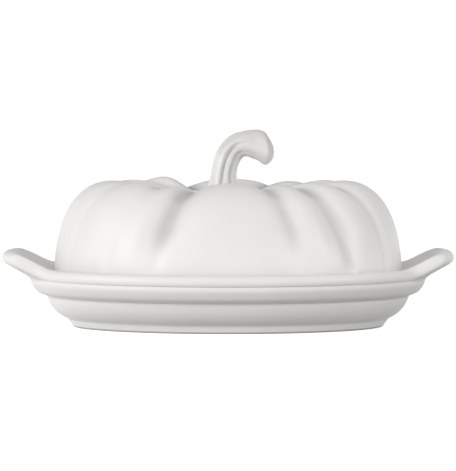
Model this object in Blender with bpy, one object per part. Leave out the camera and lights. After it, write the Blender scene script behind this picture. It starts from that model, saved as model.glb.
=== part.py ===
"""A pumpkin-shaped covered butter dish in glazed stoneware, modelled as its three cast pieces.

Metres, +Z up. The origin is on the table under the middle of the foot, the long side runs along X,
and the stem on the lid curls towards +X.
"""

import math

import bmesh
import bpy
from mathutils import Vector
from mathutils.geometry import interpolate_bezier

# Driving dimensions, in metres. "Inset" is a distance inwards from the outside of the tray's lip.
TRAY_LENGTH = 0.191  # over the lip, without the handles
TRAY_WIDTH = 0.124
LIP_HEIGHT = 0.029  # of the top of the lip above the table
LIP_RADIUS = 0.0032  # of the rolled lip and of the handles' edge
GROOVE_DROP = 0.0054  # from the top of the lip to the groove under it
GROOVE_INSET = 0.0018
GROOVE_SLOPE = 0.0014  # height of the slope from the groove out to the band
BAND_HEIGHT = 0.0064  # the plain band, down from the groove
BAND_TAPER = 0.0024
BAND_BULGE = 0.0005
STEP_DEPTH = 0.0062  # of the step under the band
STEP_DROP = 0.0016
BELLY_BULGE = 0.0016  # of the side between the step and the foot
FOOT_INSET = 0.0192  # of the foot's outer edge
FOOT_HEIGHT = 0.0034
FOOT_TAPER = 0.0016
FOOT_RING_WIDTH = 0.0055
FOOT_RECESS = 0.0012
FLOOR_THICKNESS = 0.0046
WELL_SLOPE = 0.012  # width of the hollow slope from the floor up to the ledge
WELL_HOLLOW = 0.003
TRAY_WALL = 0.008  # at the ledge that the lid stands on
LEDGE_DROP = 0.0085  # from the top of the lip to the ledge
LEDGE_WIDTH = 0.0085
LIP_ROOT_DROP = 0.004  # from the top of the lip to where its inner face meets the wall
LIP_ROOT_LEAN = 0.0008
LIP_UNDERCUT = 40.0  # degrees that the rolled lip turns under
CHAMFER = 0.0012  # of the tray's soft corners
SMALL_CHAMFER = 0.0008

HANDLE_REACH = 0.0125  # past the lip
HANDLE_RISE = 0.0075  # above the lip
HANDLE_WIDTH = 0.046
HANDLE_SCOOP = 0.0008  # how far the handle's upper face sags between its root and its edge
HANDLE_ROOT_LIFT = 0.002
HANDLE_SHARPNESS = 14  # the higher, the squarer the handle's corners

LID_PLAY = 0.0045  # between the lid and the tray wall, at the ends
LID_WALL = 0.0045
LID_TOP = 0.070  # crest of the lobes above the table
LID_EDGE_CHAMFER = 0.0006
UPRIGHT_WALL = 0.0032  # height of the plain upright wall below the shoulder
SHOULDER = 0.028  # width of the rounded shoulder, along X
SHOULDER_POWER = 2.3  # superellipse exponent
DIMPLE_DEPTH = 0.005
DIMPLE_SLOPE = 0.0115  # width of its slope, across the lid
DIMPLE_RUN = 0.55  # share of the way from the crest to the stem over which it goes down
LOBE_START = 0.006  # height above the lid's edge at which the valleys begin
LOBE_FULL = 0.030  # height above the lid's edge at which they are at full depth
VALLEYS_AT_EDGE = (24.0, 46.0, 65.5)  # degrees of the oval from +X, for one quarter
VALLEYS_AT_CREST = (32.0, 54.0, 69.0)
VALLEY_DEPTHS = (0.0014, 0.0026, 0.0042)
LOBE_FULLNESS = 0.8  # the lower, the rounder the lobes and the narrower the valleys
VALLEY_FADE = 3  # the higher, the closer to the stem the valleys run

STEM_RADIUS = 0.0067
STEM_ROOT_RADIUS = 0.0080
STEM_END_RADIUS = 0.0077
STEM_OFFSET = -0.0022  # of the root from the lid's middle
STEM_HEIGHT = 0.0199  # of the cut end's middle above the root
STEM_REACH = 0.0193  # of the cut end's middle from the root, along X
STEM_TURN = 0.0036  # how far the cut end leans to -Y
STEM_LEAN = 0.0010  # handles of the stem's Bezier curve, from its root: one leans back and up,
STEM_RISE = 0.0167
STEM_OVER = 0.0040  # and one pulls the curve over towards +X
STEM_CROWN = 0.0246
END_SADDLE = 0.0036  # how far the cut end's sides stand past its top and bottom
STEM_ROOT_SHARE = 0.2  # of the stem's length over which the root narrows
STEM_FLARE_SHARE = (0.66, 0.92)  # of the stem's length between which the cut end flares
STEM_RIDGES = 6
RIDGE_DEPTH = 0.0008

GLAZE = (0.81, 0.80, 0.78)  # a warm satin white
GLAZE_ROUGHNESS = 0.3

GAP = 0.0003  # between pieces that touch

# Fineness of the faceted surfaces.
ARC_STEPS = 5
LIP_STEPS = 8
HANDLE_STEPS = 3
BAND_STEPS = 3
HANDLE_CORNER = (0.6, 1.35)  # shares of the handle's half angle between which its corner turns
CORNER_STEPS = (3, 7, 9)  # up to the corner, round it, and on to the middle of the side
LOBE_STEPS = 8
DIMPLE_STEPS = 4
SHOULDER_STEPS = 9
STEM_RINGS = 14
RIDGE_STEPS = 4
SHARP_ANGLE = 50.0  # degrees between faces that are shaded apart
SAME_POINT = 1e-6

# Places that follow from the sizes above.
RIM = TRAY_LENGTH / 2
OVAL_OFFSET = (TRAY_LENGTH - TRAY_WIDTH) / 2
LEDGE_OUTER = RIM - TRAY_WALL
LEDGE_INNER = LEDGE_OUTER - LEDGE_WIDTH
LEDGE_Z = LIP_HEIGHT - LEDGE_DROP
GROOVE_Z = LIP_HEIGHT - GROOVE_DROP
FLOOR_Z = FOOT_RECESS + FLOOR_THICKNESS
LID_EDGE_Z = LEDGE_Z + GAP
LID_A = LEDGE_OUTER - LID_PLAY
LID_B = LID_A - OVAL_OFFSET
SHOULDER_HEIGHT = LID_TOP - LID_EDGE_Z - UPRIGHT_WALL
HANDLE_HALF_ANGLE = math.asin(HANDLE_WIDTH / (TRAY_WIDTH + HANDLE_REACH))
HANDLE_SLOPE = math.degrees(math.atan2(HANDLE_RISE, HANDLE_REACH))
PAD_RADIUS = STEM_ROOT_RADIUS + 2 * GAP
PAD_Z = LID_TOP - DIMPLE_DEPTH
CREST_A = LID_A - SHOULDER
CREST_B = PAD_RADIUS + DIMPLE_SLOPE

COLLECTION = "pumpkin_butter_dish"


def clear_scene():
    for obj in list(bpy.data.objects):
        bpy.data.objects.remove(obj, do_unlink=True)


def glaze(name):
    made = bpy.data.materials.new(name)
    made.use_nodes = True
    shader = made.node_tree.nodes["Principled BSDF"]
    shader.inputs["Base Color"].default_value = (*GLAZE, 1.0)
    shader.inputs["Roughness"].default_value = GLAZE_ROUGHNESS
    shader.inputs["Metallic"].default_value = 0.0
    return made


def arc(start, end, bulge, steps=ARC_STEPS):
    """Points from start to end on a parabola that stands out by bulge to the left of its chord."""
    (x0, z0), (x1, z1) = start, end
    length = math.hypot(x1 - x0, z1 - z0)
    left = (-(z1 - z0) / length, (x1 - x0) / length)
    points = []
    for step in range(steps + 1):
        share = step / steps
        out = 4 * bulge * share * (1 - share)
        points.append((x0 + (x1 - x0) * share + left[0] * out, z0 + (z1 - z0) * share + left[1] * out))
    return points


def smooth(share):
    share = min(max(share, 0.0), 1.0)
    return share * share * (3 - 2 * share)


def loft(name, sections, closed):
    """A mesh through sections of equal length. Doubles at a pole are merged, and open ends are capped."""
    mesh = bpy.data.meshes.new(name)
    work = bmesh.new()
    rows = [[work.verts.new(point) for point in section] for section in sections]
    pairs = list(zip(rows, rows[1:]))
    if closed:
        pairs.append((rows[-1], rows[0]))
    for row, following in pairs:
        count = len(row) if not closed else len(row) - 1
        for i in range(count):
            j = (i + 1) % len(row)
            work.faces.new((row[i], row[j], following[j], following[i]))
    if not closed:
        for row in (rows[0], rows[-1]):
            middle = work.verts.new(sum((vert.co for vert in row), Vector()) / len(row))
            for i in range(len(row)):
                work.faces.new((row[i], row[(i + 1) % len(row)], middle))
    bmesh.ops.remove_doubles(work, verts=work.verts, dist=SAME_POINT)
    bmesh.ops.recalc_face_normals(work, faces=work.faces)
    work.to_mesh(mesh)
    work.free()
    mesh.shade_smooth()
    mesh.set_sharp_from_angle(angle=math.radians(SHARP_ANGLE))
    return mesh


def add_piece(name, mesh, finish, collection, place=(0.0, 0.0, 0.0)):
    piece = bpy.data.objects.new(name, mesh)
    piece.location = place
    mesh.materials.append(finish)
    collection.objects.link(piece)
    return piece


def handle_share(angle):
    """1 in the middle of a handle, 0 along the plain lip."""
    from_end = abs(math.asin(math.sin(angle)))
    return 1 / (1 + (from_end / HANDLE_HALF_ANGLE) ** HANDLE_SHARPNESS)


def lip_outline(share):
    """The lip from its inner root over the top to the groove, drawn out into a handle by share."""
    centre_x = RIM - LIP_RADIUS + HANDLE_REACH * share
    centre_z = LIP_HEIGHT - LIP_RADIUS + HANDLE_RISE * share
    first = 180 * (1 - share) + (90 + HANDLE_SLOPE) * share
    last = -LIP_UNDERCUT * (1 - share) - (90 - HANDLE_SLOPE) * share
    edge = []
    for step in range(LIP_STEPS + 1):
        turn = math.radians(first + (last - first) * step / LIP_STEPS)
        edge.append((centre_x + LIP_RADIUS * math.cos(turn), centre_z + LIP_RADIUS * math.sin(turn)))
    root = (LEDGE_OUTER + LIP_ROOT_LEAN, LIP_HEIGHT - LIP_ROOT_DROP + HANDLE_ROOT_LIFT * share)
    upper_face = arc(root, edge[0], -HANDLE_SCOOP * share, HANDLE_STEPS)[:-1]
    lower_face = arc(edge[-1], (RIM - GROOVE_INSET, GROOVE_Z), 0.0, HANDLE_STEPS)[1:]
    return upper_face + edge + lower_face


def well_outline():
    """The inside of the tray, from the middle of its floor up the hollow slope and over the ledge."""
    floor_edge = LEDGE_INNER - WELL_SLOPE
    outline = [(0.0, FLOOR_Z), (floor_edge / 2, FLOOR_Z)]
    outline += arc((floor_edge, FLOOR_Z), (LEDGE_INNER, LEDGE_Z - CHAMFER), -WELL_HOLLOW)
    outline += [(LEDGE_INNER + CHAMFER, LEDGE_Z), (LEDGE_OUTER - CHAMFER, LEDGE_Z)]
    return [*outline, (LEDGE_OUTER, LEDGE_Z + CHAMFER)]


def side_outline():
    """The outside of the tray below the groove: the band, the step and the belly, down to the foot."""
    band_top = (RIM - GROOVE_INSET / 2, GROOVE_Z - GROOVE_SLOPE)
    band_foot = (band_top[0] - BAND_TAPER, GROOVE_Z - BAND_HEIGHT)
    step = (band_foot[0] - STEP_DEPTH, band_foot[1] - STEP_DROP)
    foot_top = (RIM - FOOT_INSET, FOOT_HEIGHT)
    outline = arc(band_top, band_foot, BAND_BULGE, BAND_STEPS)
    outline += [(band_foot[0] - CHAMFER, band_foot[1] - SMALL_CHAMFER), (step[0] + SMALL_CHAMFER, step[1])]
    return outline + arc((step[0], step[1] - SMALL_CHAMFER), foot_top, BELLY_BULGE)


def foot_outline():
    """The foot ring and the recess inside it, to the middle underneath."""
    foot_edge = RIM - FOOT_INSET - FOOT_TAPER
    ring_inner = foot_edge - FOOT_RING_WIDTH
    outline = [(foot_edge + SMALL_CHAMFER / 2, SMALL_CHAMFER / 2), (foot_edge, 0.0), (ring_inner, 0.0)]
    outline += [(ring_inner - SMALL_CHAMFER, FOOT_RECESS), (ring_inner / 2, FOOT_RECESS)]
    return [*outline, (0.0, FOOT_RECESS)]


def tray_angles():
    """Angles round the oval, closer together where the handles' corners turn."""
    corner_start, corner_end = (share * math.degrees(HANDLE_HALF_ANGLE) for share in HANDLE_CORNER)
    marks = [0.0, corner_start, corner_end, 90.0]
    quarter = []
    for first, last, steps in zip(marks, marks[1:], CORNER_STEPS):
        quarter += [first + (last - first) * i / steps for i in range(steps)]
    half_turn = quarter + [90.0] + [180 - angle for angle in reversed(quarter[1:])]
    return [math.radians(angle) for angle in half_turn + [angle + 180 for angle in half_turn]]


def build_tray(collection):
    round_floor = RIM - FOOT_INSET
    width_share = (round_floor - OVAL_OFFSET) / round_floor
    sections = []
    for angle in tray_angles():
        section = []
        outline = well_outline() + lip_outline(handle_share(angle)) + side_outline() + foot_outline()
        for radius, z in outline:
            across = radius - OVAL_OFFSET if radius > round_floor else radius * width_share
            section.append((radius * math.cos(angle), across * math.sin(angle), z))
        sections.append(section)
    mesh = loft("tray", sections, closed=True)
    return add_piece("tray", mesh, glaze("glazed_tray"), collection)


def all_round(quarter):
    """The valleys of one quarter mirrored to all four, in degrees and in order."""
    turned = [180 - angle for angle in quarter] + [180 + angle for angle in quarter]
    return sorted([*quarter, *turned, *(360 - angle for angle in quarter)])


def lobe_grid():
    """(angle at the edge, angle at the crest, valley depth) for each line up the lid."""
    at_edge = all_round(VALLEYS_AT_EDGE)
    at_crest = all_round(VALLEYS_AT_CREST)
    depths = VALLEY_DEPTHS + VALLEY_DEPTHS[::-1] + VALLEY_DEPTHS + VALLEY_DEPTHS[::-1]
    lines = []
    for lobe in range(len(depths)):
        after = (lobe + 1) % len(depths)
        turn = 360 if after == 0 else 0
        for step in range(LOBE_STEPS):
            share = step / LOBE_STEPS
            edge = at_edge[lobe] + (at_edge[after] + turn - at_edge[lobe]) * share
            crest = at_crest[lobe] + (at_crest[after] + turn - at_crest[lobe]) * share
            deep = depths[lobe] + (depths[after] - depths[lobe]) * share
            hollow = deep * (1 - math.sin(math.pi * share) ** LOBE_FULLNESS)
            lines.append((math.radians(edge), math.radians(crest), hollow))
    return lines


def lid_stations():
    """(inset, height, outward inset direction, upward direction) from the pad under the stem to the edge."""
    stations = []
    for step in range(DIMPLE_STEPS):
        inwards = 1 - step / DIMPLE_STEPS
        inset = SHOULDER + (CREST_A - PAD_RADIUS) * inwards
        stations.append((inset, LID_TOP - DIMPLE_DEPTH * smooth(inwards / DIMPLE_RUN), 0.0, 1.0))
    for step in range(SHOULDER_STEPS + 1):
        turn = math.radians(90 * (1 - step / SHOULDER_STEPS))
        along = abs(math.cos(turn)) ** (2 / SHOULDER_POWER)
        up = abs(math.sin(turn)) ** (2 / SHOULDER_POWER)
        normal_r = along ** (SHOULDER_POWER - 1) / SHOULDER
        normal_z = up ** (SHOULDER_POWER - 1) / SHOULDER_HEIGHT
        size = math.hypot(normal_r, normal_z)
        height = LID_TOP - SHOULDER_HEIGHT * (1 - up)
        stations.append((SHOULDER * (1 - along), height, normal_r / size, normal_z / size))
    return stations


def towards_pad(inset):
    """0 out to the crest of the lobes, rising to 1 at the pad under the stem."""
    return max(0.0, (inset - SHOULDER) / (CREST_A - PAD_RADIUS))


def lid_ring(inset):
    """Half length and half width of the lid's oval at an inset from its wall."""
    if inset <= SHOULDER:
        return LID_A - inset, LID_B - inset * (LID_B - CREST_B) / SHOULDER
    share = towards_pad(inset)
    return CREST_A + (PAD_RADIUS - CREST_A) * share, CREST_B + (PAD_RADIUS - CREST_B) * share


def lid_point(line, station, depth):
    """The point on one line up the lid, depth below the smooth outside."""
    edge, crest, hollow = line
    inset, height, out, up = station
    share = smooth((height - LID_EDGE_Z - LOBE_START) / (LOBE_FULL - LOBE_START))
    if inset > SHOULDER:
        share = 1 - towards_pad(inset) ** VALLEY_FADE
    inward = depth + hollow * share
    long_half, short_half = lid_ring(inset)
    angle = edge + (crest - edge) * smooth((height - LID_EDGE_Z) / (LID_TOP - LID_EDGE_Z))
    x = (long_half - inward * out) * math.cos(angle) + STEM_OFFSET * towards_pad(inset)
    y = (short_half - inward * out) * math.sin(angle)
    return (x, y, height - inward * up)


def build_lid_shell(collection):
    stations = lid_stations()
    chamfer = LID_EDGE_CHAMFER
    inner = LID_A - LID_WALL
    foot = [(LID_A, chamfer), (LID_A - chamfer, 0.0), (inner + chamfer, 0.0), (inner, chamfer)]
    sections = []
    for line in lobe_grid():
        edge = line[0]
        outside = [lid_point(line, station, 0.0) for station in stations]
        rim = []
        for radius, lift in foot:
            across = radius - OVAL_OFFSET
            rim.append((radius * math.cos(edge), across * math.sin(edge), LID_EDGE_Z + lift))
        inside = [lid_point(line, station, LID_WALL) for station in reversed(stations)]
        section = [(STEM_OFFSET, 0.0, PAD_Z), *outside, *rim, *inside, (STEM_OFFSET, 0.0, PAD_Z - LID_WALL)]
        sections.append(section)
    mesh = loft("lid_shell", sections, closed=True)
    return add_piece("lid_shell", mesh, glaze("glazed_lid"), collection)


def stem_radius(share):
    """Thick at the root, slim along the bend, and flared again at the cut end."""
    flare_start, flare_end = STEM_FLARE_SHARE
    root = (STEM_ROOT_RADIUS - STEM_RADIUS) * (1 - smooth(share / STEM_ROOT_SHARE))
    end = (STEM_END_RADIUS - STEM_RADIUS) * smooth((share - flare_start) / (flare_end - flare_start))
    return STEM_RADIUS + root + end


def build_stem_knob(collection):
    start = Vector((STEM_OFFSET, 0.0, 0.0))
    up_to = start + Vector((-STEM_LEAN, 0.0, STEM_RISE))
    over = start + Vector((STEM_OVER, 0.0, STEM_CROWN))
    end = start + Vector((STEM_REACH, -STEM_TURN, STEM_HEIGHT))
    path = interpolate_bezier(start, up_to, over, end, STEM_RINGS)
    last = (end - over).normalized()
    plumb = STEM_END_RADIUS * -last.z / last.x
    around = RIDGE_STEPS * STEM_RIDGES
    sections = []
    for i, point in enumerate(path):
        ahead = path[min(i + 1, STEM_RINGS - 1)] - path[max(i - 1, 0)]
        if i == 0:
            ahead = Vector((0.0, 0.0, 1.0))
        side = Vector((0.0, 1.0, 0.0)) - ahead.normalized() * ahead.normalized().y
        side.normalize()
        across = side.cross(ahead.normalized())
        share = i / (STEM_RINGS - 1)
        radius = stem_radius(share)
        near_end = smooth((share - STEM_FLARE_SHARE[0]) / (1 - STEM_FLARE_SHARE[0]))
        ring = []
        for step in range(around):
            turn = 2 * math.pi * step / around
            reach = radius + RIDGE_DEPTH * (math.cos(STEM_RIDGES * turn) - 1) / 2
            out = across * reach * math.cos(turn) + side * reach * math.sin(turn)
            forward = END_SADDLE * math.sin(turn) ** 2 + plumb * math.cos(turn)
            ring.append(point + out + last * forward * near_end)
        sections.append(ring)
    mesh = loft("stem_knob", sections, closed=False)
    return add_piece("stem_knob", mesh, glaze("glazed_stem"), collection, (0.0, 0.0, PAD_Z + GAP))


def main():
    clear_scene()
    collection = bpy.data.collections.new(COLLECTION)
    bpy.context.scene.collection.children.link(collection)
    build_tray(collection)
    shell = build_lid_shell(collection)
    stem = build_stem_knob(collection)
    stem.parent = shell


main()
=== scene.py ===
"""A white glazed stoneware butter dish: an oval tray and a lid in the form of a pumpkin.
Sizes are in metres."""

import math

import bpy
import numpy as np
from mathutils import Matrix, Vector
from mathutils.geometry import interpolate_bezier


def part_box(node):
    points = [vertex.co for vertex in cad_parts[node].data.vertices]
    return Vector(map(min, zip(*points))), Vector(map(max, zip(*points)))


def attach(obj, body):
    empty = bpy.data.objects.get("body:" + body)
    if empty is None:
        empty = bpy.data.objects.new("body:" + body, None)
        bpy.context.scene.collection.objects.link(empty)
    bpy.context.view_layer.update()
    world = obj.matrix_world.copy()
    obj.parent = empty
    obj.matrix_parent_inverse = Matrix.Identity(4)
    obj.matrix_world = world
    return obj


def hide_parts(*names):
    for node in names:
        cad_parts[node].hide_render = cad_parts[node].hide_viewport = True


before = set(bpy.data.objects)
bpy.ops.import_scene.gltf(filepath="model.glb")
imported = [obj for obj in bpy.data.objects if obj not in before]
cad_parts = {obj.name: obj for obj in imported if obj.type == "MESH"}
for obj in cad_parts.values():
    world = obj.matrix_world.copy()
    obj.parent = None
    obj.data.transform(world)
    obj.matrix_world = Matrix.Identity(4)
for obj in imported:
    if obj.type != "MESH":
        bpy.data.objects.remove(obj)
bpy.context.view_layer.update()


# ---- Tray ----
# One slip casting of stoneware: an oval foot, a bellied side, a band under a rolled lip, and the lip
# drawn out and up into a tab handle at each end. The lid stands on a ledge inside the lip. Every
# corner is softened, because the raw clay is sponged before it is dipped in glaze.

tray_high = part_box("tray")[1]
HANDLE_REACH = 0.0125  # past the lip
HANDLE_RISE = 0.0075  # above the lip
HANDLE_WIDTH = 0.046
HANDLE_HALF_TURN = math.asin(HANDLE_WIDTH / 2 / (tray_high.y + HANDLE_REACH / 2))
HANDLE_SQUARENESS = 14  # a higher power ends a handle more sharply
LIP_RADIUS = 0.0032
LIP_CURL = 40  # degrees that the lip rolls on below its outermost point
RIM = tray_high.x - HANDLE_REACH
OVAL_OFFSET = RIM - tray_high.y
LIP_HEIGHT = tray_high.z - HANDLE_RISE
GROOVE_Z = LIP_HEIGHT - 0.0054
LEDGE_Z = LIP_HEIGHT - 0.0085
LEDGE_OUTER = RIM - 0.008
LEDGE_INNER = LEDGE_OUTER - 0.0085
FLOOR_Z = 0.0058
FOOT_TOP = 0.0034
FOOT_INSET = 0.0192
BELLY_FOOT = RIM - FOOT_INSET
FOOT_EDGE = BELLY_FOOT - 0.0016
FOOT_RING = 0.0055
FOOT_RECESS = 0.0012
BARE_AND_SHADED_HEIGHT = 0.0008  # the glaze is wiped off up to here, and the darker bare band is also painted shade along the foot's bottom edge


def smooth(share):
    """Eases from 0 to 1 as share does, and stays level outside them."""
    share = np.clip(share, 0.0, 1.0)
    return share * share * (3 - 2 * share)


def stretch(start, end, bulge=0.0, steps=8):
    """Points from start towards end, standing out by bulge to the left. The end itself is left out."""
    start, end = np.array(start), np.array(end)
    share = (np.arange(steps) / steps)[:, None]
    along = end - start
    left = np.array([-along[1], along[0]]) / np.hypot(*along)
    return start + along * share + left * (4 * bulge * share * (1 - share))


def outline(corners):
    """Joins (point, bulge, steps) corners into one row of points. The last corner only ends it."""
    rows = [
        stretch(corner[0], following[0], corner[1], corner[2])
        for corner, following in zip(corners, corners[1:])
    ]
    return np.concatenate([*rows, [corners[-1][0]]])


def sponged(points, passes):
    """Rounds the corners of a row of points, and keeps its ends."""
    for _ in range(passes):
        points[1:-1] = (points[:-2] + 2 * points[1:-1] + points[2:]) / 4
    return points


def handle_share(angle):
    """1 in the middle of a handle, 0 along the plain lip."""
    from_end = abs(math.asin(math.sin(angle)))
    return 1 / (1 + (from_end / HANDLE_HALF_TURN) ** HANDLE_SQUARENESS)


def tray_section(share):
    """Half section of the tray, from the middle of its floor over the lip to the middle underneath.
    Each corner gives its distance out and height, the bulge of the stretch after it, and the steps."""
    centre = np.array([
        RIM - LIP_RADIUS + HANDLE_REACH * share,
        LIP_HEIGHT - LIP_RADIUS + HANDLE_RISE * share,
    ])
    slope = math.degrees(math.atan2(HANDLE_RISE, HANDLE_REACH))
    curl_start = 180 - (90 - slope) * share
    curl_end = -LIP_CURL - (90 - LIP_CURL - slope) * share
    turns = np.radians(np.linspace(curl_start, curl_end, 21))
    lip = centre + LIP_RADIUS * np.stack([np.cos(turns), np.sin(turns)], axis=1)
    inside = outline([
        ((0.0, FLOOR_Z), 0.0, 14),  # middle of the floor
        ((LEDGE_INNER - 0.012, FLOOR_Z), -0.003, 12),  # the well curves up from here
        ((LEDGE_INNER, LEDGE_Z - 0.001), 0.0, 3),
        ((LEDGE_INNER + 0.001, LEDGE_Z), 0.0, 8),  # the ledge that the lid stands on
        ((LEDGE_OUTER - 0.0012, LEDGE_Z), 0.0, 3),
        ((LEDGE_OUTER - 0.0002, LEDGE_Z + 0.001), 0.0, 5),  # inside of the lip
        ((LEDGE_OUTER + 0.0008, LIP_HEIGHT - 0.004 + 0.002 * share), -0.0008 * share, 10),
        (lip[0], 0.0, 1),
    ])[:-1]
    band = (RIM - 0.0010, GROOVE_Z - 0.0016)
    band_foot = (band[0] - 0.0030, GROOVE_Z - 0.0064)
    step = (band_foot[0] - 0.0052, band_foot[1] - 0.0022)
    outside = outline([
        (lip[-1], 0.0, 8),
        ((RIM - 0.0014, GROOVE_Z), 0.0, 3),  # groove under the lip
        (band, 0.0002, 12),
        (band_foot, 0.0, 2),
        ((band_foot[0] - 0.0007, band_foot[1] - 0.0005), 0.0, 9),  # flat step under the band
        (step, 0.0, 3),
        ((step[0] + 0.0002, step[1] - 0.0007), 0.0017, 24),  # belly
        ((BELLY_FOOT + 0.0002, FOOT_TOP + 0.0006), 0.0, 2),
        ((BELLY_FOOT + 0.0002, FOOT_TOP), 0.0, 7),  # foot
        ((FOOT_EDGE - 0.0002, 0.0009), 0.0003, 4),
        ((FOOT_EDGE - 0.0012, 0.0), 0.0, 8),  # the ring that it stands on
        ((FOOT_EDGE - FOOT_RING, 0.0), 0.0, 3),
        ((FOOT_EDGE - FOOT_RING - 0.0008, FOOT_RECESS), 0.0, 10),
        ((0.0, FOOT_RECESS), 0.0, 1),
    ])[1:]
    return sponged(np.concatenate([inside, lip, outside]), passes=6)


def tray_angles():
    """Angles round the oval, closer together where the handles' corners turn. Each span gives its
    first and last angle and its steps."""
    half = math.degrees(HANDLE_HALF_TURN)
    spans = [(0.0, 0.6 * half, 12), (0.6 * half, 1.4 * half, 40), (1.4 * half, 90.0, 48)]
    quarter = np.concatenate([np.linspace(start, end, steps, endpoint=False) for start, end, steps in spans])
    half_turn = np.concatenate([quarter, [90.0], 180 - quarter[:0:-1]])
    return np.radians(np.concatenate([half_turn, half_turn + 180]))


def skin(name, columns):
    """A closed mesh through columns of points, which all start at one pole and end at the other."""
    around, along = columns.shape[:2]
    points = np.concatenate([columns[:, 1:-1].reshape(-1, 3), columns[:1, 0], columns[:1, -1]])
    row = along - 2
    index = np.arange(around * row).reshape(around, row)
    after = np.roll(index, -1, axis=0)
    quads = np.stack([index[:, :-1], index[:, 1:], after[:, 1:], after[:, :-1]], axis=-1)
    first, last = around * row, around * row + 1
    starts = np.stack([np.full(around, first), index[:, 0], after[:, 0]], axis=-1)
    ends = np.stack([np.full(around, last), after[:, -1], index[:, -1]], axis=-1)
    mesh = bpy.data.meshes.new(name)
    mesh.from_pydata(points.tolist(), [], [*quads.reshape(-1, 4).tolist(), *starts.tolist(), *ends.tolist()])
    mesh.shade_smooth()
    piece = bpy.data.objects.new(name, mesh)
    bpy.context.scene.collection.objects.link(piece)
    return piece


# The plan is the same distance narrower all the way in to the foot, and in proportion inside it
narrow = (BELLY_FOOT - OVAL_OFFSET) / BELLY_FOOT
columns = []
for angle in tray_angles():
    section = tray_section(handle_share(angle))
    out, height = section.T
    across = np.where(out > BELLY_FOOT, out - OVAL_OFFSET, out * narrow)
    columns.append(np.stack([out * math.cos(angle), across * math.sin(angle), height], axis=1))
tray = skin("tray_body", np.array(columns))


def linear(colour):
    """A hex sRGB colour as linear red, green, blue and alpha."""
    parts = [int(colour[i : i + 2], 16) / 255 for i in (1, 3, 5)]
    return [part / 12.92 if part <= 0.04045 else ((part + 0.055) / 1.055) ** 2.4 for part in parts] + [1.0]


def add_node(tree, kind, settings=None, links=None):
    """Adds one node. Settings are its properties, and links its inputs: each is a value or a socket."""
    made = tree.nodes.new(kind)
    for name, value in (settings or {}).items():
        setattr(made, name, value)
    for key, value in (links or {}).items():
        if isinstance(value, bpy.types.NodeSocket):
            tree.links.new(value, made.inputs[key])
        else:
            made.inputs[key].default_value = value
    return made


# Settings that many nodes share
EASED = {"interpolation_type": "SMOOTHSTEP"}
COLOURS = {"data_type": "RGBA"}


def satin_white_glaze():
    """Satin white glaze, dipped and fired over stoneware: a slightly warm white with a broad soft shine,
    painted greyer in hollows, both for glaze that pools there and as painted shade. Its clouds are about
    22 mm across, so 45 to the metre, and its ripple about 2.4 mm, so 420 to the metre."""
    made = bpy.data.materials.new("satin_white_glaze_on_stoneware")
    made.use_nodes = True
    tree = made.node_tree
    shader = tree.nodes["Principled BSDF"]
    place = add_node(tree, "ShaderNodeTexCoord").outputs["Object"]
    clouds = add_node(tree, "ShaderNodeTexNoise", links={"Vector": place, "Scale": 45.0, "Detail": 3.0})
    tone = add_node(tree, "ShaderNodeMix", COLOURS, {
        "Factor": clouds.outputs["Fac"], "A": linear("#EDECE9"), "B": linear("#F3F2F0")})
    # Painted shade: the deeper a point lies in a hollow (its valley value), the more it is mixed towards
    # grey #CFCECC, which also stands for glaze that pools there
    hollow = add_node(tree, "ShaderNodeAttribute", {"attribute_name": "valley"}).outputs["Fac"]
    pooled_glaze_and_painted_shade = add_node(tree, "ShaderNodeMapRange", EASED, {
        "Value": hollow, "From Min": 0.2, "From Max": 1.0}).outputs["Result"]
    tone = add_node(tree, "ShaderNodeMix", COLOURS, {
        "Factor": pooled_glaze_and_painted_shade, "A": tone.outputs["Result"], "B": linear("#CFCECC")})
    tree.links.new(tone.outputs["Result"], shader.inputs["Base Color"])
    wet = add_node(tree, "ShaderNodeMapRange", links={
        "Value": clouds.outputs["Fac"], "From Min": 0.3, "From Max": 0.7, "To Min": 0.50, "To Max": 0.43})
    tree.links.new(wet.outputs["Result"], shader.inputs["Roughness"])
    ripple = add_node(tree, "ShaderNodeTexNoise", links={"Vector": place, "Scale": 420.0, "Detail": 2.0})
    bump = add_node(tree, "ShaderNodeBump", links={
        "Height": ripple.outputs["Fac"], "Strength": 0.25, "Distance": 0.00006})
    tree.links.new(bump.outputs["Normal"], shader.inputs["Normal"])
    shader.inputs["IOR"].default_value = 1.5
    return made


def bisque_and_painted_contact_shade():
    """Bare fired stoneware, left unglazed on the foot ring so that it doesn't stick to the kiln shelf:
    a dry, warm grey, darker than the glaze, which also serves as painted shade along the foot's bottom edge
    where it meets the table. Its grains of about 0.3 mm are too fine to show, so they are drawn 0.6 mm
    across,
    1600 to the metre."""
    made = bpy.data.materials.new("unglazed_bisque_and_painted_contact_shade")
    made.use_nodes = True
    tree = made.node_tree
    shader = tree.nodes["Principled BSDF"]
    place = add_node(tree, "ShaderNodeTexCoord").outputs["Object"]
    grain = add_node(tree, "ShaderNodeTexNoise", links={"Vector": place, "Scale": 1600.0, "Detail": 3.0})
    tone = add_node(tree, "ShaderNodeMix", COLOURS, {
        "Factor": grain.outputs["Fac"], "A": linear("#B4ADA2"), "B": linear("#CDC6BB")})
    tree.links.new(tone.outputs["Result"], shader.inputs["Base Color"])
    bump = add_node(tree, "ShaderNodeBump", links={
        "Height": grain.outputs["Fac"], "Strength": 0.6, "Distance": 0.00008})
    tree.links.new(bump.outputs["Normal"], shader.inputs["Normal"])
    shader.inputs["Roughness"].default_value = 0.9
    return made


glaze = satin_white_glaze()
tray.data.materials.append(glaze)
tray.data.materials.append(bisque_and_painted_contact_shade())
# Faces within 0.8 mm of the table get the bare stoneware: the unglazed ring it stands on, and painted shade
# along the foot's bottom edge
for face in tray.data.polygons:
    face.material_index = 1 if face.center.z < BARE_AND_SHADED_HEIGHT else 0
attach(tray, "tray")
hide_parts("tray")


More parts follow.
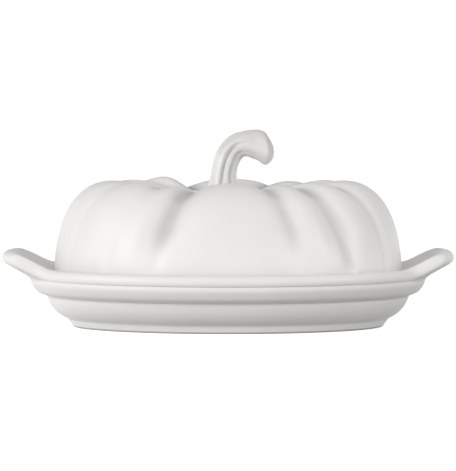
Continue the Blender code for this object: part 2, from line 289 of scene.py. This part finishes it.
# ---- Lid shell ----
# The hollow pumpkin of stoneware, slip-cast with an even wall. Its lobes meet in valleys, deepest
# beside the wide front and back lobes, that pinch to creases at the foot and run together in a
# dimple under the stem. It stands loose inside the tray's lip.

lid_low, lid_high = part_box("lid_shell")
LID_EDGE = lid_low.z
LID_TOP = lid_high.z
LID_WALL = 0.0045
EDGE_ROUND = 0.0006
SHOULDER = 0.028
SHOULDER_HEIGHT = 0.046
SHOULDER_POWER = 2.3  # 2 is an ellipse, and more is squarer
DIMPLE_DEPTH = 0.005
DIMPLE_RUN = 0.55  # share of the way in over which it falls
PAD_RADIUS = 0.0086
CREST_LENGTH = lid_high.x - SHOULDER  # from the middle to where the shoulder starts
CREST_WIDTH = PAD_RADIUS + 0.0115  # the same across
STEM_X = -0.0016  # the stem stands left of the middle


def dome(rows_top=34, rows_shoulder=70, rows_wall=6, around=400):
    """The smooth outside of the lid before its lobes are pressed: how far round each column is, how
    far in towards the stem each row is, and the points, from the stem down to the edge."""
    turn = np.linspace(0, 2 * math.pi, around, endpoint=False)
    in_share = np.concatenate([
        np.linspace(1, 0, rows_top, endpoint=False), np.zeros(rows_shoulder + rows_wall)])
    lean = np.linspace(math.pi / 2, 0, rows_shoulder)
    power = 2 / SHOULDER_POWER
    along = np.concatenate([np.zeros(rows_top), np.cos(lean) ** power, np.ones(rows_wall)])
    up = np.concatenate([np.ones(rows_top), np.sin(lean) ** power, np.zeros(rows_wall)])
    drop = np.concatenate([np.zeros(rows_top + rows_shoulder), np.linspace(0, 1, rows_wall + 1)[1:]])
    wall_top = LID_TOP - SHOULDER_HEIGHT
    z = wall_top + SHOULDER_HEIGHT * up - (wall_top - LID_EDGE - EDGE_ROUND) * drop
    # Nine tenths of the dimple is a cup round the stem, and the rest a slope all the way in
    z = z - DIMPLE_DEPTH * (0.9 * smooth(in_share / DIMPLE_RUN) + 0.1 * in_share)
    on_top = in_share > 0
    length = np.where(on_top, CREST_LENGTH * (1 - in_share), CREST_LENGTH + SHOULDER * along)
    # The rows are long ovals that turn into circles round the stem
    oval = CREST_WIDTH * (1 - in_share)
    circle = PAD_RADIUS * np.minimum(1, length / PAD_RADIUS)
    circle_share = in_share**6
    shoulder = CREST_WIDTH + (lid_high.y - CREST_WIDTH) * along
    width = np.where(on_top, oval * (1 - circle_share) + circle * circle_share, shoulder)
    x = length[None, :] * np.cos(turn)[:, None] + STEM_X * in_share[None, :]
    y = width[None, :] * np.sin(turn)[:, None]
    points = np.stack([x, y, np.broadcast_to(z, x.shape)], axis=-1)
    return turn, in_share, points


turn, in_share, outside = dome()
round_way = np.roll(outside, -1, axis=0) - np.roll(outside, 1, axis=0)
down_way = np.gradient(outside, axis=1)
normal = np.cross(down_way, round_way)
size = np.linalg.norm(normal, axis=-1, keepdims=True)
TINY = 1e-14  # all columns meet in one point under the stem, where the normal is straight up
normal = np.where(size > TINY, normal / np.maximum(size, TINY), [0.0, 0.0, 1.0])
every_other = slice(0, None, 2)  # the inside is smoother, so half the rows will do
inside = (outside - normal * LID_WALL)[:, every_other][:, ::-1]
edge_turn = np.linspace(0, math.pi, 9)[1:-1]
edge_share = ((1 - np.cos(edge_turn)) / 2)[None, :, None]
edge = outside[:, -1][:, None] * (1 - edge_share) + inside[:, 0][:, None] * edge_share
edge[:, :, 2] = LID_EDGE + EDGE_ROUND * (1 - np.sin(edge_turn)[None, :])
rows = np.concatenate([outside, edge, inside], axis=1)
edge_rows = edge.shape[1]
into = np.concatenate([
    -normal, np.repeat(-normal[:, -1:], edge_rows, axis=1), -normal[:, every_other][:, ::-1]], axis=1)
top_share = np.concatenate([in_share, np.zeros(edge_rows), in_share[every_other][::-1]])
lid = skin("lid_pumpkin_shell", rows)


def set_values(piece, name, kind, values):
    """Stores one value for each point of a piece that skin made, in skin's own order."""
    between = values[:, 1:-1].reshape(-1, *values.shape[2:])
    in_order = np.concatenate([between, values[:1, 0], values[:1, -1]])
    layer = piece.data.attributes.new(name, kind, "POINT")
    field = "vector" if kind == "FLOAT_VECTOR" else "value"
    layer.data.foreach_set(field, in_order.ravel().astype(np.float32))


quarter = np.degrees(np.abs(np.arcsin(np.sin(turn)))) / 90
set_values(lid, "quarter", "FLOAT", np.broadcast_to(quarter[:, None], rows.shape[:2]))
height_share = np.clip((rows[:, :, 2] - LID_EDGE) / (LID_TOP - LID_EDGE), 0, 1)
height_share = np.where(top_share[None, :] > 0, 1.0, height_share)
set_values(lid, "height", "FLOAT", height_share)
set_values(lid, "stemward", "FLOAT", np.broadcast_to(top_share[None, :], rows.shape[:2]))
set_values(lid, "into", "FLOAT_VECTOR", into)


def shaped(node, points):
    """Gives a Float Curve node its points: (x, y) or (x, y, "VECTOR") for a corner."""
    curve = node.mapping.curves[0]
    while len(curve.points) > 2:
        curve.points.remove(curve.points[1])
    curve.points[0].location = points[0][:2]
    curve.points[-1].location = points[-1][:2]
    for point in points[1:-1]:
        made = curve.points.new(*point[:2])
        made.handle_type = point[2] if len(point) > 2 else "AUTO"
    node.mapping.update()
    return node.outputs["Value"]


def new_tree(name, inputs):
    """A Geometry Nodes tree with a geometry input and output, and named inputs for its sizes."""
    tree = bpy.data.node_groups.new(name, "GeometryNodeTree")
    tree.interface.new_socket("Geometry", in_out="INPUT", socket_type="NodeSocketGeometry")
    tree.interface.new_socket("Geometry", in_out="OUTPUT", socket_type="NodeSocketGeometry")
    for label, kind in inputs:
        tree.interface.new_socket(label, in_out="INPUT", socket_type=kind)
    return tree, add_node(tree, "NodeGroupInput").outputs


def finish_tree(tree, geometry, hollow, coat):
    """Ends a tree: stores how deep in a hollow each point lies, which the glaze paints greyer as painted
    shade and pooled glaze, makes the geometry real and coats it.
    """
    kept = add_node(tree, "GeometryNodeStoreNamedAttribute", {"data_type": "FLOAT", "domain": "POINT"}, {
        "Geometry": geometry, "Name": "valley", "Value": hollow}).outputs[0]
    real = add_node(tree, "GeometryNodeRealizeInstances", links={"Geometry": kept}).outputs[0]
    coated = add_node(tree, "GeometryNodeSetMaterial", links={"Geometry": real, "Material": coat}).outputs[0]
    add_node(tree, "NodeGroupOutput", links={"Geometry": coated})


def apply_tree(piece, tree, values):
    """Runs a tree on a piece with these input values, and keeps the result as its plain mesh."""
    modifier = piece.modifiers.new(tree.name, "NODES")
    modifier.node_group = tree
    for item in tree.interface.items_tree:
        if item.in_out == "INPUT" and item.name in values:
            modifier[item.identifier] = values[item.name]
    shown = piece.evaluated_get(bpy.context.evaluated_depsgraph_get())
    mesh = bpy.data.meshes.new_from_object(shown)
    piece.modifiers.clear()
    piece.data = mesh


# Settings that many nodes share
TIMES = {"operation": "MULTIPLY"}
MINUS = {"operation": "SUBTRACT"}
PLUS = {"operation": "ADD"}

# How deep the lid is pressed at each share of the way round a quarter, from its end to its middle:
# soft valleys over the shoulder, and narrow creases at the foot
SOFT_VALLEYS = [
    (0, 0), (0.12, 0.0), (0.20, 0.10), (0.24, 0.30), (0.267, 0.42), (0.295, 0.27), (0.34, 0.09),
    (0.38, 0.02), (0.42, 0.08), (0.455, 0.28), (0.485, 0.54), (0.507, 0.62), (0.54, 0.48), (0.58, 0.28),
    (0.62, 0.16), (0.66, 0.34), (0.70, 0.72), (0.722, 0.94), (0.745, 0.78), (0.78, 0.48), (0.83, 0.24),
    (0.90, 0.08), (1, 0),
]
CREASES = [
    (0, 0), (0.21, 0.0), (0.25, 0.18), (0.27, 0.46), (0.29, 0.18), (0.33, 0.0), (0.45, 0.02),
    (0.48, 0.20), (0.511, 0.56), (0.535, 0.20), (0.57, 0.02), (0.66, 0.05), (0.70, 0.12), (0.728, 0.22),
    (0.755, 0.12), (0.80, 0.04), (1, 0),
]
# How far each valley leans towards the middle as it climbs
VALLEY_DRIFT = [(0, 0), (0.27, 0.85), (0.36, 0.89), (0.52, 0.94), (0.60, 0.92), (0.80, 0.70), (1, 0)]
DRIFT = 0.1  # share of a quarter


def press_lobes():
    """The tree that presses the valleys between the lobes into a smooth dome. A softness or depth
    multiplies the valleys of one part of the lid."""
    tree, given = new_tree("press_lobes", [
        ("Valley depth", "NodeSocketFloat"), ("Left end softness", "NodeSocketFloat"),
        ("Far left softness", "NodeSocketFloat"), ("Right front softness", "NodeSocketFloat"),
        ("Crest depth", "NodeSocketFloat"), ("Back drift", "NodeSocketFloat"),
        ("Hand waver", "NodeSocketFloat"), ("Sponging", "NodeSocketInt"),
        ("Proud lobe", "NodeSocketFloat"), ("Proud lobe at", "NodeSocketVector"),
        ("Proud lobe radius", "NodeSocketFloat"), ("Glaze", "NodeSocketMaterial")])
    around, height, stemward, into = (
        add_node(tree, "GeometryNodeInputNamedAttribute", {"data_type": kind}, {"Name": name})
        .outputs["Attribute"]
        for name, kind in (
            ("quarter", "FLOAT"), ("height", "FLOAT"), ("stemward", "FLOAT"), ("into", "FLOAT_VECTOR"))
    )
    here = add_node(tree, "GeometryNodeInputPosition").outputs[0]
    x, y, _ = add_node(tree, "ShaderNodeSeparateXYZ", links={0: here}).outputs

    # Where on the lid a point is, from 0 to 1
    front = add_node(tree, "ShaderNodeMapRange", EASED, {
        "Value": y, "From Min": 0.003, "From Max": -0.003}).outputs["Result"]
    right = add_node(tree, "ShaderNodeMapRange", EASED, {
        "Value": x, "From Min": 0.0, "From Max": 0.012}).outputs["Result"]
    left_end = add_node(tree, "ShaderNodeMapRange", EASED, {
        "Value": x, "From Min": -0.030, "From Max": -0.040}).outputs["Result"]
    high = add_node(tree, "ShaderNodeMapRange", EASED, {
        "Value": height, "From Min": 0.22, "From Max": 0.62}).outputs["Result"]
    crown = add_node(tree, "ShaderNodeMapRange", EASED, {
        "Value": height, "From Min": 0.80, "From Max": 0.97}).outputs["Result"]
    crest = add_node(tree, "ShaderNodeMapRange", EASED, {
        "Value": height, "From Min": 0.86, "From Max": 0.99}).outputs["Result"]
    by_middle = add_node(tree, "ShaderNodeMapRange", EASED, {
        "Value": around, "From Min": 0.60, "From Max": 0.70}).outputs["Result"]

    # The valleys lean at the front, and at the back only those beside its middle lobe, by less
    drift = shaped(add_node(tree, "ShaderNodeFloatCurve", links={"Value": around}), VALLEY_DRIFT)
    drift = add_node(tree, "ShaderNodeMath", TIMES, {0: drift, 1: DRIFT}).outputs[0]
    climb = add_node(tree, "ShaderNodeMath", TIMES, {0: height, 1: height}).outputs[0]
    drift = add_node(tree, "ShaderNodeMath", TIMES, {0: drift, 1: climb}).outputs[0]
    behind = add_node(tree, "ShaderNodeMath", TIMES, {0: by_middle, 1: given["Back drift"]}).outputs[0]
    follow = add_node(tree, "ShaderNodeMath", {"operation": "MAXIMUM"}, {0: front, 1: behind}).outputs[0]
    drift = add_node(tree, "ShaderNodeMath", TIMES, {0: drift, 1: follow}).outputs[0]
    place = add_node(tree, "ShaderNodeMath", MINUS, {0: around, 1: drift}).outputs[0]

    soft = shaped(add_node(tree, "ShaderNodeFloatCurve", links={"Value": place}), SOFT_VALLEYS)
    pinched = shaped(add_node(tree, "ShaderNodeFloatCurve", links={"Value": place}), CREASES)
    lobes = add_node(tree, "ShaderNodeMix", {"data_type": "FLOAT"}, {
        "Factor": high, "A": pinched, "B": soft}).outputs["Result"]
    depth = shaped(
        add_node(tree, "ShaderNodeFloatCurve", links={"Value": height}),
        [(0, 0), (0.10, 0.0), (0.16, 0.25), (0.27, 0.95), (0.35, 1.0), (1, 1)],
    )
    fade = shaped(
        add_node(tree, "ShaderNodeFloatCurve", links={"Value": stemward}),
        [(0, 1), (0.5, 1.0), (0.86, 0.0), (1, 0)],
    )
    amount = add_node(tree, "ShaderNodeMath", TIMES, {0: lobes, 1: depth}).outputs[0]
    amount = add_node(tree, "ShaderNodeMath", TIMES, {0: amount, 1: fade}).outputs[0]

    # The second valleys from the lid's end, then the first ones
    second = shaped(
        add_node(tree, "ShaderNodeFloatCurve", links={"Value": place}),
        [(0, 0), (0.30, 0.0), (0.38, 1.0), (0.60, 1.0), (0.67, 0.0), (1, 0)],
    )
    first = shaped(
        add_node(tree, "ShaderNodeFloatCurve", links={"Value": place}),
        [(0, 0.0), (0.12, 1.0), (0.30, 1.0), (0.38, 0.0), (1, 0)],
    )
    second_left = add_node(tree, "ShaderNodeMath", TIMES, {0: left_end, 1: second}).outputs[0]
    first_left = add_node(tree, "ShaderNodeMath", TIMES, {0: left_end, 1: first}).outputs[0]
    middle_right = add_node(tree, "ShaderNodeMath", TIMES, {0: right, 1: by_middle}).outputs[0]
    for part, label in (
        (second_left, "Left end softness"), (middle_right, "Right front softness"),
        (crest, "Crest depth"), (first_left, "Far left softness"),
    ):
        change = add_node(tree, "ShaderNodeMapRange", links={
            "Value": part, "To Min": 1.0, "To Max": given[label]}).outputs["Result"]
        amount = add_node(tree, "ShaderNodeMath", TIMES, {0: amount, 1: change}).outputs[0]
    pressed = add_node(tree, "ShaderNodeMath", TIMES, {0: amount, 1: given["Valley depth"]}).outputs[0]

    away = add_node(tree, "ShaderNodeVectorMath", {"operation": "DISTANCE"}, {
        0: here, 1: given["Proud lobe at"]}).outputs["Value"]
    proud = add_node(tree, "ShaderNodeMapRange", {"interpolation_type": "SMOOTHERSTEP"}, {
        "Value": away, "From Min": 0.0, "From Max": given["Proud lobe radius"],
        "To Min": given["Proud lobe"], "To Max": 0.0}).outputs["Result"]
    # The hand's waver is about 36 mm long, so 28 to the metre
    waver = add_node(tree, "ShaderNodeTexNoise", {"noise_dimensions": "3D"}, {"Scale": 28.0, "Detail": 1.0})
    waver = add_node(tree, "ShaderNodeMath", TIMES, {
        0: waver.outputs["Fac"], 1: given["Hand waver"]}).outputs[0]
    waver = add_node(tree, "ShaderNodeMath", TIMES, {0: waver, 1: high}).outputs[0]
    total = add_node(tree, "ShaderNodeMath", PLUS, {0: pressed, 1: waver}).outputs[0]
    total = add_node(tree, "ShaderNodeMath", MINUS, {0: total, 1: proud}).outputs[0]
    shift = add_node(tree, "ShaderNodeVectorMath", {"operation": "SCALE"}, {
        0: into, "Scale": total}).outputs[0]
    moved = add_node(tree, "GeometryNodeSetPosition", links={
        "Geometry": given["Geometry"], "Offset": shift}).outputs[0]

    # Sponging rubs down the crown, where valleys and lobes crowd together
    placed = add_node(tree, "GeometryNodeInputPosition").outputs[0]
    rubbed_place = add_node(tree, "GeometryNodeBlurAttribute", {"data_type": "FLOAT_VECTOR"}, {
        "Value": placed, "Iterations": given["Sponging"], "Weight": crown}).outputs[0]
    rubbed = add_node(tree, "GeometryNodeSetPosition", links={
        "Geometry": moved, "Position": rubbed_place}).outputs[0]
    # The lid's valleys are painted greyer by the glaze: painted shade in the valleys, with pooled glaze
    finish_tree(tree, rubbed, amount, given["Glaze"])
    return tree


apply_tree(lid, press_lobes(), {
    "Valley depth": 0.0050, "Left end softness": 0.2, "Far left softness": 0.4,
    "Right front softness": 0.66, "Crest depth": 1.4, "Back drift": 0.45,
    "Hand waver": 0.0006, "Sponging": 16, "Glaze": glaze,
    "Proud lobe": 0.0026, "Proud lobe at": (-0.029, 0.022, LID_TOP), "Proud lobe radius": 0.016})
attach(lid, "lid")
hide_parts("lid_shell")


# ---- Stem knob ----
# A solid pumpkin stem of the same stoneware, cast by itself and luted into the dimple with slip.
# Uneven ridges run up it and round its bend, and it flares at the cut end.

stem_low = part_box("stem_knob")[0]
STEM_ROOT_RADIUS = 0.0086
STEM_RADIUS = 0.0069
STEM_NECK_RADIUS = 0.0067
STEM_END_RADIUS = 0.0077
STEM_SINK = 0.0008  # into the lid, so that no gap shows
END_SADDLE = 0.0036  # how far the end's middle stands past its top and bottom
RIM_SHARE = 0.93  # of the cut end's radius, where its rounded rim starts
RIM_OUT = 0.0005
RIM_LINE_SHARE = 0.86  # of the radius, where a fine groove runs inside the rim, with painted shade along it
RIM_LINE_WIDTH = 0.035
RIM_LINE_DEPTH = 0.0007
FACE_SINK = 0.0012  # how far the middle of the cut end lies back
STEM_BEND_GREYING = 0.66  # how much greyer the stem is painted along its bend, with 1 as the grey of a full hollow
# How much greyer the cut end's face is painted
END_FACE_GREYING = 0.72
# How deep the surface lies at each share of the way round the stem, from the inside of its bend
RIDGE_LINE = [
    (0, 0.34), (0.05, 0.30), (0.09, 0.60), (0.13, 0.20), (0.18, 0.10), (0.22, 0.50), (0.26, 0.10),
    (0.31, 0.10), (0.35, 0.60), (0.39, 0.10), (0.42, 0.05), (0.46, 0.40), (0.50, 0.05), (0.54, 0.02),
    (0.575, 0.22), (0.61, 0.03), (0.66, 0.0), (0.685, 0.35), (0.708, 1.0), (0.73, 0.66), (0.765, 0.46),
    (0.80, 0.58), (0.825, 1.0), (0.85, 0.74), (0.885, 0.60), (0.93, 0.62), (0.965, 0.50), (1, 0.34),
]


def unit(rows):
    """Rows of vectors, each made one long."""
    return rows / np.linalg.norm(rows, axis=1, keepdims=True)


def stem_tube(rows=150, around=192):
    """Columns of points from the stem's root over its bend to the middle of its cut end, with how
    far round, along and out from the middle they are, and how much greyer they are painted."""
    root = Vector((-0.0018, 0.0, stem_low.z - STEM_SINK))
    end = root + Vector((0.0190, -0.0036, 0.0208))
    upright = root + Vector((-0.001, 0, 0.0175))
    bend = root + Vector((0.0054, 0, 0.0273))
    path = np.array([list(point) for point in interpolate_bezier(root, upright, bend, end, rows)])
    share = np.linspace(0, 1, rows)
    # The lowest rings lie flat, so that they don't cut into each other
    settled = smooth(share / 0.15)[:, None]
    ahead = unit(np.gradient(path, axis=0)) * settled + np.array([0.0, 0.0, 1.0]) * (1 - settled)
    ahead = unit(ahead)
    side = unit(np.array([0.0, 1.0, 0.0]) - ahead * ahead[:, 1:2])
    across = np.cross(side, ahead)
    # The root's flare ends at 0.22 of the way, the neck narrows from 0.40, and the end flares from 0.86
    radius = STEM_RADIUS + (STEM_ROOT_RADIUS - STEM_RADIUS) * (1 - smooth(share / 0.22)) ** 1.5
    radius += (STEM_NECK_RADIUS - STEM_RADIUS) * smooth((share - 0.40) / 0.35)
    radius += (STEM_END_RADIUS - STEM_NECK_RADIUS) * smooth((share - 0.86) / 0.14)
    turn = np.linspace(0, 2 * math.pi, around, endpoint=False)[::-1]
    ring = across[None] * np.cos(turn)[:, None, None] + side[None] * np.sin(turn)[:, None, None]
    tube = path[None] + ring * radius[None, :, None]

    # The end is cut plumb, though the stem still leans there, and bows out like a saddle
    plumb = radius[-1] * -ahead[-1, 2] / ahead[-1, 0] * np.cos(turn)
    saddle = END_SADDLE * np.sin(turn) ** 2
    cut = (saddle + plumb)[:, None] * smooth((share - 0.7) / 0.3)[None, :]
    tube += ahead[-1] * cut[:, :, None]
    lean = np.linspace(0, math.pi / 2, 7)[1:]
    face_share = np.linspace(RIM_SHARE, 0, 26)[1:]
    cap_share = np.concatenate([RIM_SHARE + (1 - RIM_SHARE) * np.cos(lean), face_share])
    rim_line = np.exp(-(((face_share - RIM_LINE_SHARE) / RIM_LINE_WIDTH) ** 2))
    hollow = FACE_SINK * smooth((0.88 - face_share) / 0.4)
    cap_out = np.concatenate([RIM_OUT * np.sin(lean), RIM_OUT - RIM_LINE_DEPTH * rim_line - hollow])
    cap_cut = saddle[:, None] * (cap_share**2)[None, :] + plumb[:, None] * cap_share[None, :]
    cap_cut += cap_out[None, :]
    cap = path[-1] + ring[:, -1:] * (radius[-1] * cap_share)[None, :, None]
    cap = cap + ahead[-1] * cap_cut[:, :, None]

    columns = np.concatenate([np.repeat(path[:1][None], around, axis=0), tube, cap], axis=1)
    shares = np.concatenate([[0], share, np.ones(len(cap_share))])
    reach = np.concatenate([[0], np.ones(rows), cap_share])
    cap_ring = np.repeat(ring[:, -1:], len(cap_share), axis=1)
    outward = np.concatenate([np.zeros((around, 1, 3)), ring, cap_ring], axis=1)
    # Painted greyer along the bend and over the cut end, and darkest along the fine line inside the rim,
    # which is painted shade
    coat = np.concatenate([
        [0], STEM_BEND_GREYING * smooth((share - 0.15) / 0.35), np.full(len(lean), STEM_BEND_GREYING),
        np.maximum(rim_line, END_FACE_GREYING)])
    return columns, turn, shares, outward * reach[None, :, None], coat


columns, turn, shares, outward, coat = stem_tube()
stem = skin("stem_ridged_knob", columns)
set_values(stem, "turn", "FLOAT", np.broadcast_to((turn / (2 * math.pi))[:, None], columns.shape[:2]))
set_values(stem, "along", "FLOAT", np.broadcast_to(shares[None], columns.shape[:2]))
set_values(stem, "coat", "FLOAT", np.broadcast_to(coat[None], columns.shape[:2]))
set_values(stem, "out", "FLOAT_VECTOR", outward)


def carve_ridges():
    """The tree that carves the grooves between the stem's ridges, and roughens it a little."""
    tree, given = new_tree("carve_ridges", [
        ("Groove depth", "NodeSocketFloat"), ("Twist", "NodeSocketFloat"),
        ("Roughness", "NodeSocketFloat"), ("Glaze", "NodeSocketMaterial")])
    around, along, coat, out = (
        add_node(tree, "GeometryNodeInputNamedAttribute", {"data_type": kind}, {"Name": name})
        .outputs["Attribute"]
        for name, kind in (
            ("turn", "FLOAT"), ("along", "FLOAT"), ("coat", "FLOAT"), ("out", "FLOAT_VECTOR"))
    )
    twisted = add_node(tree, "ShaderNodeMath", {"operation": "MULTIPLY_ADD"}, {
        0: along, 1: given["Twist"], 2: around}).outputs[0]
    wave = add_node(tree, "ShaderNodeMath", {"operation": "FRACT"}, {0: twisted}).outputs[0]
    groove = shaped(add_node(tree, "ShaderNodeFloatCurve", links={"Value": wave}), RIDGE_LINE)
    fade = shaped(
        add_node(tree, "ShaderNodeFloatCurve", links={"Value": along}),
        [(0, 1), (0.2, 1), (0.5, 0.95), (0.65, 0.6), (0.78, 0.2), (1, 0.12)],
    )
    groove = add_node(tree, "ShaderNodeMath", TIMES, {0: groove, 1: fade}).outputs[0]
    depth = add_node(tree, "ShaderNodeMath", TIMES, {0: groove, 1: given["Groove depth"]}).outputs[0]
    # Lumps about 6 mm long, so 170 to the metre
    rough = add_node(tree, "ShaderNodeTexNoise", {"noise_dimensions": "3D"}, {
        "Scale": 170.0, "Detail": 2.0}).outputs["Fac"]
    rough = add_node(tree, "ShaderNodeMath", TIMES, {0: rough, 1: given["Roughness"]}).outputs[0]
    total = add_node(tree, "ShaderNodeMath", PLUS, {0: depth, 1: rough}).outputs[0]
    inward = add_node(tree, "ShaderNodeMath", TIMES, {0: total, 1: -1.0}).outputs[0]
    shift = add_node(tree, "ShaderNodeVectorMath", {"operation": "SCALE"}, {
        0: out, "Scale": inward}).outputs[0]
    moved = add_node(tree, "GeometryNodeSetPosition", links={
        "Geometry": given["Geometry"], "Offset": shift}).outputs[0]
    # The grooves are painted greyer, as painted shade with pooled glaze, and the bend and cut end as grey as
    # stem_tube gives them
    hollow = add_node(tree, "ShaderNodeMath", {"operation": "MAXIMUM"}, {0: groove, 1: coat}).outputs[0]
    finish_tree(tree, moved, hollow, given["Glaze"])
    return tree


apply_tree(stem, carve_ridges(), {
    "Groove depth": 0.0021, "Twist": -0.03, "Roughness": 0.0008, "Glaze": glaze})
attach(stem, "lid")
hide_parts("stem_knob")


# ---- Table top, light and camera ----
# A matt white table top, with a large soft light at the front left, a smaller one at the front right,
# and a dim studio round them. The table glows to read as white, and throws no light or shade on the
# dish: the lower half of the studio stands for the light that a table sends up.

bpy.ops.mesh.primitive_plane_add(size=80.0, location=(0, 0, 0))
table = bpy.context.object
table.name = "table_top"
table.visible_diffuse = False
table.visible_shadow = False
paint = bpy.data.materials.new("matt_white_paint")
paint.use_nodes = True
coating = paint.node_tree.nodes["Principled BSDF"].inputs
coating["Base Color"].default_value = linear("#F4F4F3")
coating["Roughness"].default_value = 0.9
coating["Emission Color"].default_value = linear("#FFFFFF")
coating["Emission Strength"].default_value = 0.62
table.data.materials.append(paint)

DISH_MIDDLE = Vector((0, 0, 0.04))


def soft_light(name, place, size, power):
    """A round area light of this size in metres and power in watts, turned towards the dish."""
    light = bpy.data.lights.new(name, "AREA")
    light.shape = "DISK"
    light.size = size
    light.energy = power
    lamp = bpy.data.objects.new(name, light)
    lamp.location = place
    lamp.rotation_euler = (DISH_MIDDLE - lamp.location).to_track_quat("-Z", "Y").to_euler()
    bpy.context.scene.collection.objects.link(lamp)


soft_light("key_softbox", (-1.4, -1.1, 0.7), 0.9, 12.0)
soft_light("fill_softbox", (1.4, -1.3, 0.7), 0.6, 8.5)

world = bpy.data.worlds.new("studio")
bpy.context.scene.world = world
world.use_nodes = True
sky = world.node_tree
toward = add_node(sky, "ShaderNodeTexCoord").outputs["Generated"]
sideways, _, rise = add_node(sky, "ShaderNodeSeparateXYZ", links={0: toward}).outputs
rise = add_node(sky, "ShaderNodeMapRange", links={
    "Value": rise, "From Min": -1.0, "From Max": 1.0}).outputs["Result"]
# Brightest as a band at the horizon, which is at 0.5, dimmer overhead and dimmest straight below
level = shaped(
    add_node(sky, "ShaderNodeFloatCurve", links={"Value": rise}),
    [(0, 0.06), (0.12, 0.18), (0.25, 0.36), (0.36, 0.62), (0.46, 0.72, "VECTOR"),
     (0.485, 1.02, "VECTOR"), (0.53, 1.02, "VECTOR"), (0.55, 0.86), (0.75, 0.56), (1, 0.32)],
)
# The lower half is brighter at the left, on the key light's side
below = add_node(sky, "ShaderNodeMapRange", EASED, {
    "Value": rise, "From Min": 0.47, "From Max": 0.38, "To Max": -0.56}).outputs["Result"]
level = add_node(sky, "ShaderNodeMath", {"operation": "MULTIPLY_ADD"}, {
    0: sideways, 1: below, 2: level}).outputs[0]
sky.nodes["Background"].inputs["Color"].default_value = linear("#FFFFFF")
sky.links.new(level, sky.nodes["Background"].inputs["Strength"])

CAMERA_DISTANCE = 1.65
CAMERA_HEIGHT = 0.157
AIM_HEIGHT = 0.0434
VIEW_HEIGHT = 0.225  # metres seen from top to bottom, at the dish
lens = bpy.data.cameras.new("camera")
camera = bpy.data.objects.new("camera", lens)
camera.location = (0, -CAMERA_DISTANCE, CAMERA_HEIGHT)
line = Vector((0, 0, AIM_HEIGHT)) - camera.location
camera.rotation_euler = line.to_track_quat("-Z", "Y").to_euler()
lens.sensor_width = 36
lens.lens = lens.sensor_width * line.length / VIEW_HEIGHT
bpy.context.scene.collection.objects.link(camera)
bpy.context.scene.camera = camera
bpy.context.scene.view_settings.view_transform = "Standard"
